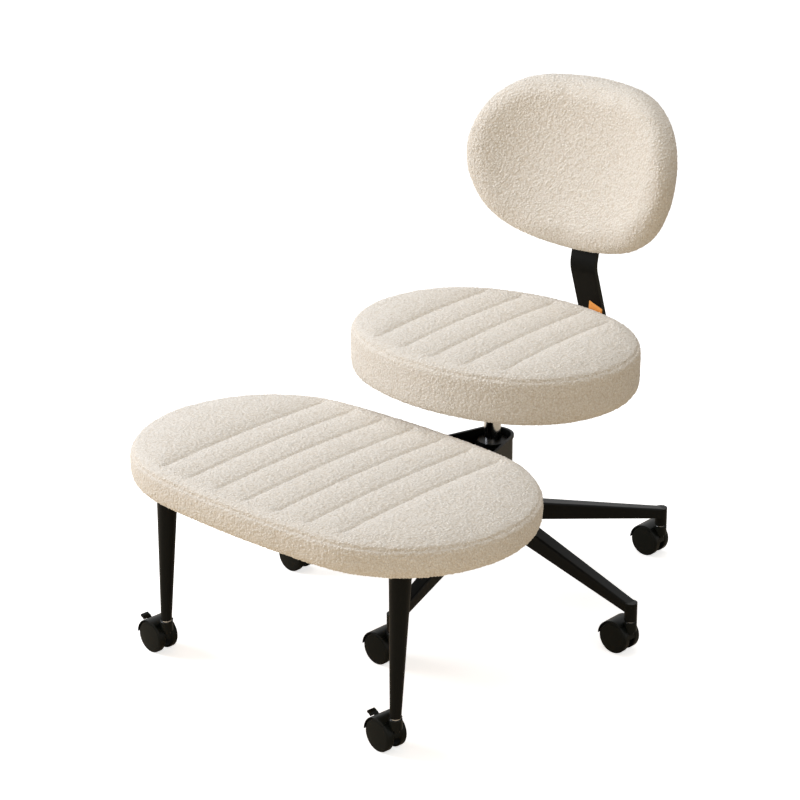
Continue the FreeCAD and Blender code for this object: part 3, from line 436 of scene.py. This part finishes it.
def stuff(pad, sewn, cap, rounds):
    deselect_all()
    pad.select_set(True)
    remesh = pad.modifiers.new("even_squares", "REMESH")
    remesh.mode = "VOXEL"
    remesh.voxel_size = VOXEL
    apply_all(pad)
    before = [point.co.copy() for point in pad.data.vertices]
    pins = pad.vertex_groups.new(name="sewn")
    for point in pad.data.vertices:
        pins.add([point.index], sewn(point.co), "REPLACE")
    cloth = pad.modifiers.new("stuffing", "CLOTH")
    cloth.settings.vertex_group_mass = pins.name
    cloth.settings.use_pressure = True
    cloth.settings.uniform_pressure_force = PRESSURE
    cloth.settings.effector_weights.gravity = 0.0
    cloth.collision_settings.use_collision = False
    cloth.settings.quality = 3
    for step in range(1, FRAMES + 1):
        scene.frame_set(step)
    apply_all(pad)
    pad.vertex_groups.clear()
    scene.frame_set(1)
    for point, start in zip(pad.data.vertices, before):
        shift = point.co - start
        if shift.length > cap:
            point.co = start + shift * (cap / shift.length)
    smooth = pad.modifiers.new("even_out", "SMOOTH")
    smooth.factor = 0.5
    smooth.iterations = rounds
    fine = pad.modifiers.new("finer", "SUBSURF")
    fine.levels = fine.render_levels = 2
    apply_all(pad)
    moved = [(p.co - s).length for p, s in zip(pad.data.vertices, before)]
    print(pad.name, "swelled by up to", round(max(moved) / MM, 1), "mm;", len(pad.data.polygons), "faces")


print("squares of", VOXEL / MM, "mm")

# %% [markdown]
# The fabric is sewn after stuffing. A channel is a straight row of stitches through the top that pulls a
# narrow crease into it and fades out at both ends, and the edge seam is a crease that runs round the pad
# where the top panel meets the side band. Both are distances: the nearer a point is to the stitches, the
# deeper it is drawn in. Last, every point is raised or sunk by the curls of the pile. The noise that bends
# the curls would start from the clock, so it is given a seed, and each run makes the same pile.

# %% Sew and raise the pile
CREASE = 3.0 * MM
CREASE_DEPTH = 3.2 * MM
VALLEY = 16 * MM
VALLEY_DEPTH = 1.8 * MM
SEAM = 2.6 * MM
SEAM_DEPTH = 1.8 * MM
CURL_LIFT = 1.6 * MM
CURL_LEVEL = 0.6
CURL_SEED = 7
noise.seed_set(CURL_SEED)


def ease(value):
    value = min(1.0, max(0.0, value))
    return value * value * (3 - 2 * value)


def draw_in(distance):
    return CREASE_DEPTH * math.exp(-((distance / CREASE) ** 2)) + VALLEY_DEPTH * math.exp(
        -((distance / VALLEY) ** 2)
    )


def curl_height(spot):
    wander = noise.noise_vector(spot / (2.2 * CURL)) * 0.45
    near, far = noise.voronoi(spot / CURL + wander)[0][:2]
    return min(1.0, max(0.0, 0.15 + 1.25 * (far - near) + 0.25 * (0.5 - near)))


def raise_pile(pad):
    mesh = pad.data
    normals = [point.normal.copy() for point in mesh.vertices]
    heights = [curl_height(point.co) for point in mesh.vertices]
    attribute = mesh.attributes.new("curl", "FLOAT", "POINT")
    attribute.data.foreach_set("value", heights)
    for point, normal, height in zip(mesh.vertices, normals, heights):
        point.co += normal * (CURL_LIFT * (height - CURL_LEVEL))
    mesh.polygons.foreach_set("use_smooth", [True] * len(mesh.polygons))
    mesh.materials.clear()
    mesh.materials.append(pile)
    print(pad.name, "mean curl", round(sum(heights) / len(heights), 3))


print("crease", CREASE_DEPTH / MM, "mm deep")

# %% [markdown]
# The seat and the footrest are the same kind of pad, flat on a board below and channelled on top, so one
# function makes both: five rows of stitches on the seat and seven on the footrest, 62 mm apart. The
# footrest stands turned a few degrees round the column, so its pad is made straight and then turned with
# it. A pad that is set down is fitted to the box of its CAD solid, in all but its thickness.

# %% The two channelled pads
PITCH = 62 * MM
TOP_R = 15 * MM
BOTTOM_R = 19 * MM
SHRINK = 4 * MM
SWELL_CAP = 6 * MM
FADE = 26 * MM
ROW_IN = 20 * MM
SEAM_DOWN = 9 * MM
CROWN = 6 * MM
SEAT_H = 89 * MM
SEAT_MARGIN = 30 * MM
SEAT_ROWS = 5
EDGE_ROUNDS = 4


def channelled_pad(name, plan, height, margin, rows):
    top = height - TOP_R
    levels = pad_levels(height, CROWN, plan["b"], TOP_R, BOTTOM_R, SHRINK, margin)
    pad = ring_pad(name, lambda direction, inset: outline_reach(direction, **plan, inset=inset), levels)
    stitches = [PITCH * (i - (rows - 1) / 2) for i in range(rows)]

    long_r = side_radius(**plan)
    halves = [plan["b"] - long_r + math.sqrt(long_r**2 - x**2) - ROW_IN for x in stitches]

    def stitch_pull(spot):
        nearest, half = min((abs(spot.x - x), half) for x, half in zip(stitches, halves))
        return nearest, ease((half - abs(spot.y)) / FADE)

    def sewn(spot):
        nearest, hold = stitch_pull(spot)
        if spot.z < BOTTOM_R or abs(spot.z - (height - SEAM_DOWN)) < VOXEL / 2:
            return 1.0
        if spot.z > top and nearest < 0.75 * VOXEL and hold > 0.5:
            return 1.0
        return 0.0

    stuff(pad, sewn, SWELL_CAP, EDGE_ROUNDS)
    normals = [point.normal.copy() for point in pad.data.vertices]
    for point, normal in zip(pad.data.vertices, normals):
        spot = point.co
        if spot.z > top:
            nearest, hold = stitch_pull(spot)
            spot.z -= hold * draw_in(nearest)
        seam = abs(spot.z - (height - SEAM_DOWN))
        if seam < 3 * SEAM:
            spot -= normal * (SEAM_DEPTH * math.exp(-((seam / SEAM) ** 2)))
    print(name, "has", rows, "rows of stitches")
    return pad


def set_down(pad, node, place, fitted):
    pad.data.transform(place)
    low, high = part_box(node)
    fit = Matrix.Identity(4)
    for axis in fitted:
        spots = [point.co[axis] for point in pad.data.vertices]
        fit[axis][axis] = (high[axis] - low[axis]) / (max(spots) - min(spots))
        fit[axis][3] = low[axis] - fit[axis][axis] * min(spots)
    pad.data.transform(fit)
    pad.data.update()


seat_bottom = Vector((0, 0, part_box("seat_cushion")[0].z))
seat_pad = channelled_pad("seat_pad", SEAT, SEAT_H, SEAT_MARGIN, SEAT_ROWS)
set_down(seat_pad, "seat_cushion", Matrix.Translation(seat_bottom), (0, 1))
raise_pile(seat_pad)

# %% The footrest pad
FOOT_TURN = -2.7
FOOT_H = 59.5 * MM
FOOT_MARGIN = 22 * MM
FOOT_ROWS = 7

foot_pad = channelled_pad("footrest_pad", FOOT, FOOT_H, FOOT_MARGIN, FOOT_ROWS)
foot_bottom = Vector((0, 0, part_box("footrest_cushion")[0].z))
foot_place = Matrix.Translation(foot_bottom) @ Matrix.Rotation(math.radians(FOOT_TURN), 4, "Z")
set_down(foot_pad, "footrest_cushion", foot_place, (0, 1))
raise_pile(foot_pad)

# %% [markdown]
# The backrest is a thicker pad with a full round edge and no channels, curved round the sitter's back and
# leaned back by 12.5 degrees. It is made lying flat, stuffed, then bent round an upright cylinder and put
# in place. Its rear is closed by a panel sewn in along an oval seam, and the flat bar is bolted through it.

# %% The backrest pad
BACK_A = 205 * MM
BACK_B = 145.5 * MM
BACK_TOP_R = 140 * MM
BACK_LOW_R = 134 * MM
BACK_UP = 2 * MM
BACK_T = 63 * MM
BACK_WRAP = 395 * MM
BACK_LEAN = 12.5
BACK_Y = 247.5 * MM
BACK_Z = 690.7 * MM
BACK_ROUNDS = 16
BACK_FULL = 0.032
BACK_CAP = 4 * MM
BACK_DISH = 11 * MM
REAR_T = BACK_T / 2 + 2 * MM
REAR_CROWN = 8 * MM
REAR_R = 17 * MM
PANEL_IN = 34 * MM


def back_reach(direction, inset):
    upper = math.sin(direction) > 0
    b = BACK_B - BACK_UP if upper else BACK_B + BACK_UP
    full = 1 if upper else 1 + BACK_FULL * math.sin(2 * direction) ** 2
    return full * outline_reach(direction, BACK_A, b, BACK_TOP_R if upper else BACK_LOW_R, inset)


half_t = BACK_T / 2 - SHRINK / 2
back_levels = []
for share in (0.8, 0.4):
    back_levels.append((half_t + share * (BACK_B - half_t), -REAR_T - REAR_CROWN))
for step in range(13):
    turn = math.radians(15 * step)
    round_r, deep = (REAR_R, REAR_T) if step < 6 else (half_t, half_t)
    back_levels.append((SHRINK + round_r * (1 - math.sin(turn)), -deep * math.cos(turn)))
for share in (0.2, 0.4, 0.6, 0.8, 0.93):
    back_levels.append((half_t + share * (BACK_B - half_t), half_t - BACK_DISH * (1 - (1 - share) ** 2)))
back_pad = ring_pad("backrest_pad", back_reach, back_levels)
stuff(back_pad, lambda spot: 1.0 if spot.z < -0.4 * BACK_T else 0.0, BACK_CAP, BACK_ROUNDS)
for point in back_pad.data.vertices:
    spot = point.co
    if spot.z < 0:
        seam = math.hypot(spot.x, spot.y) - back_reach(math.atan2(spot.y, spot.x), PANEL_IN)
        spot.z += 2 * SEAM_DEPTH * math.exp(-((seam / CREASE) ** 2))

# %% Bend the backrest and lean it
lean = Matrix.Rotation(math.radians(-BACK_LEAN), 4, "X")
for point in back_pad.data.vertices:
    flat = point.co.copy()
    deep = math.sqrt(BACK_WRAP**2 - flat.x**2) - BACK_WRAP
    point.co = Vector((flat.x, deep - flat.z, flat.y + BACK_UP))
set_down(back_pad, "back_cushion", Matrix.Translation((0, BACK_Y, BACK_Z)) @ lean, (0, 2))
raise_pile(back_pad)

# %% [markdown]
# A small orange tape is folded double and caught in the seat's rear seam as a pull tag. It is plain
# woven, with threads about 0.6 mm apart that are drawn at 1.2 mm. It is bare: nothing is printed on it.

# %% Orange tape
THREAD = 1.2 * MM

tape, tree, surface, place = start_finish(
    "woven_tape_orange", {"Roughness": 0.75, "Sheen Weight": 0.2, "Specular IOR Level": 0.3}
)
warp = add_node(tree, "ShaderNodeTexWave", {"Vector": place, "Scale": 0.32 / THREAD}, bands_direction="X")
weft = add_node(tree, "ShaderNodeTexWave", {"Vector": place, "Scale": 0.32 / THREAD}, bands_direction="Z")
weave = add_node(
    tree,
    "ShaderNodeMath",
    {0: warp.outputs["Fac"], 1: weft.outputs["Fac"]},
    operation="MULTIPLY",
)
dye = add_node(
    tree,
    "ShaderNodeMix",
    {0: weave.outputs[0], 6: linear("#f09a3c"), 7: linear("#ffc472")},
    data_type="RGBA",
)
rib = add_node(tree, "ShaderNodeBump", {"Height": weave.outputs[0], "Strength": 0.5, "Distance": 0.2 * MM})
tree.links.new(dye.outputs[2], surface.inputs["Base Color"])
tree.links.new(rib.outputs[0], surface.inputs["Normal"])
print("made", tape.name)

# %% The folded pull tag
TAG_TURN = -12.0
TAG_WAVE = 1.2 * MM
TAG_LEFT_DROP = 0.1
TAG_RIGHT_DROP = 0.44
TAG_TAPER = 3 * MM
TAG_LAYER = 1.0 * MM

tag_low, tag_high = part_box("seat_tag")
deselect_all()
bpy.ops.mesh.primitive_plane_add(size=1.0)
tag = bpy.context.object
tag.name = tag.data.name = "pull_tag"
width, rise = tag_high.x - tag_low.x, tag_high.z - tag_low.z
tag.data.transform(Matrix.Rotation(math.radians(90), 4, "X") @ Matrix.Diagonal((width, rise, 1, 1)))
bpy.ops.object.mode_set(mode="EDIT")
bpy.ops.mesh.select_all(action="SELECT")
bpy.ops.mesh.subdivide(number_cuts=15)
bpy.ops.object.mode_set(mode="OBJECT")
for point in tag.data.vertices:
    up = point.co.z / rise + 0.5
    side = point.co.x / width
    point.co.y += TAG_WAVE * math.sin(3.0 * side) * up
    point.co.z -= rise * up * (TAG_LEFT_DROP + (TAG_RIGHT_DROP - TAG_LEFT_DROP) * (side + 0.5))
    point.co.x += TAG_TAPER * up * (0.5 - side)
wall = tag.modifiers.new("two_layers", "SOLIDIFY")
wall.thickness = 2 * TAG_LAYER
wall.offset = 0
soft = tag.modifiers.new("turned_edge", "BEVEL")
soft.width = 0.8 * MM
soft.segments = 2
apply_all(tag)
turned = Matrix.Rotation(math.radians(TAG_TURN), 4, "Z")
tag.data.transform(Matrix.Translation((tag_low + tag_high) / 2) @ turned)
tag.data.polygons.foreach_set("use_smooth", [True] * len(tag.data.polygons))
tag.data.materials.append(tape)
print("tag", round(width / MM), "mm wide")

# %% [markdown]
# Every new piece rides on the CAD body that carries it, stands for the CAD solids it covers, and names the
# finish it takes.

# %% Tie the pieces to the chair
for piece, body, nodes, finish in (
    (seat_pad, "seat", ["seat_cushion"], "cream_boucle"),
    (foot_pad, "footrest", ["footrest_cushion"], "cream_boucle"),
    (back_pad, "seat", ["back_cushion", "back_panel"], "cream_boucle"),
    (tag, "seat", ["seat_tag"], "orange_fabric"),
):
    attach(piece, body)
    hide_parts(*nodes)
print("tied 4 pieces")

# %% [markdown]
# The studio is a white floor under a white world. A large soft lamp to the left of the camera models the
# pads from bright on the left to shaded on the right, a weak warm one beside the camera and one above fill
# in, and faint light comes from all round, warmer near the ground. The floor is lifted to white for the
# camera alone, so the lift adds no light to the chair and the floor still takes its shadow. From below the
# floor is clear, so that the chair's underside can be looked at.

# %% Floor and light
FLOOR = 30.0
FLOOR_LIFT = 0.7
AMBIENT = 0.37

deselect_all()
bpy.ops.mesh.primitive_plane_add(size=FLOOR, location=(0, 0, 0))
floor = bpy.context.object
floor.name = "studio_floor"
paper, tree, surface, place = start_finish("studio_paper", {"Roughness": 0.9, "Specular IOR Level": 0.1})
mottle = add_node(tree, "ShaderNodeTexNoise", {"Vector": place, "Scale": 3.0})
white = add_node(
    tree,
    "ShaderNodeMix",
    {0: mottle.outputs["Fac"], 6: linear("#f6f6f5"), 7: linear("#f9f9f9")},
    data_type="RGBA",
)
path = add_node(tree, "ShaderNodeLightPath")
bounce = add_node(
    tree,
    "ShaderNodeMix",
    {0: path.outputs["Is Camera Ray"], 6: linear("#ebdcc4"), 7: white.outputs[2]},
    data_type="RGBA",
)
tree.links.new(bounce.outputs[2], surface.inputs["Base Color"])
surface.inputs["Emission Color"].default_value = (1, 1, 1, 1)
lift = add_node(
    tree, "ShaderNodeMath", {0: path.outputs["Is Camera Ray"], 1: FLOOR_LIFT}, operation="MULTIPLY"
)
tree.links.new(lift.outputs[0], surface.inputs["Emission Strength"])
side = add_node(tree, "ShaderNodeNewGeometry")
clear = add_node(tree, "ShaderNodeBsdfTransparent")
one_way = add_node(
    tree, "ShaderNodeMixShader", {0: side.outputs["Backfacing"], 1: surface.outputs[0], 2: clear.outputs[0]}
)
tree.links.new(one_way.outputs[0], tree.nodes["Material Output"].inputs["Surface"])
floor.data.materials.append(paper)

world = bpy.data.worlds.new("studio_world")
scene.world = world
world.use_nodes = True
tree = world.node_tree
sky = tree.nodes["Background"]
path = add_node(tree, "ShaderNodeLightPath")
seen = add_node(
    tree,
    "ShaderNodeMath",
    {0: path.outputs["Is Camera Ray"], 1: path.outputs["Is Glossy Ray"]},
    operation="MAXIMUM",
)
through = add_node(
    tree,
    "ShaderNodeMath",
    {0: seen.outputs[0], 1: path.outputs["Is Transmission Ray"]},
    operation="MAXIMUM",
)
strength = add_node(
    tree, "ShaderNodeMapRange", {"Value": through.outputs[0], "To Min": AMBIENT, "To Max": 1.0}
)
around = add_node(tree, "ShaderNodeTexCoord")
split = add_node(tree, "ShaderNodeSeparateXYZ", {"Vector": around.outputs["Generated"]})
height = add_node(tree, "ShaderNodeMapRange", {"Value": split.outputs["Z"], "From Max": 0.8})
glow = add_node(
    tree,
    "ShaderNodeMix",
    {0: height.outputs[0], 6: linear("#e6d0ae"), 7: linear("#ffffff")},
    data_type="RGBA",
)
warm = add_node(
    tree,
    "ShaderNodeMix",
    {0: through.outputs[0], 6: glow.outputs[2], 7: linear("#ffffff")},
    data_type="RGBA",
)
tree.links.new(warm.outputs[2], sky.inputs["Color"])
tree.links.new(strength.outputs[0], sky.inputs["Strength"])


def soft_lamp(name, place, aim, size, power, tint):
    lamp = bpy.data.lights.new(name, "AREA")
    lamp.shape = "DISK"
    lamp.size = size
    lamp.energy = power
    lamp.color = linear(tint)[:3]
    holder = bpy.data.objects.new(name, lamp)
    holder.location = place
    holder.rotation_euler = (Vector(aim) - Vector(place)).to_track_quat("-Z", "Y").to_euler()
    scene.collection.objects.link(holder)
    return holder


soft_lamp("window_side", (-2.9, -1.5, 1.6), (0, -0.1, 0.4), 1.6, 76.0, "#f6f8ff")
soft_lamp("camera_side", (1.7, -2.85, 1.6), (0, -0.1, 0.4), 2.0, 15.0, "#ffefd8")
soft_lamp("top_fill", (-0.2, 0.0, 3.4), (0, -0.1, 0.3), 2.0, 30.0, "#ffffff")
scene.view_settings.view_transform = "Standard"
print("lamps:", len(bpy.data.lights))

# %% [markdown]
# The camera was found from the photograph: its long lens, height and turn make the ovals of the pads and
# the casters' places agree. It is set as a matrix: turned round the upright, tipped down, then rolled a
# hair.

# %% Camera
LENS = 115.86
YAW = 39.353
TIP = 21.521
ROLL = -0.357
SENSOR = 36.0
CAMERA_AT = (2.39694, -3.16519, 1.9101)

view = bpy.data.cameras.new("camera")
view.sensor_width = SENSOR
view.lens = LENS
camera = bpy.data.objects.new("camera", view)
camera.matrix_world = (
    Matrix.Translation(CAMERA_AT)
    @ Matrix.Rotation(math.radians(YAW), 4, "Z")
    @ Matrix.Rotation(math.radians(90 - TIP), 4, "X")
    @ Matrix.Rotation(math.radians(ROLL), 4, "Z")
)
scene.collection.objects.link(camera)
scene.camera = camera
print("lens", LENS, "mm")
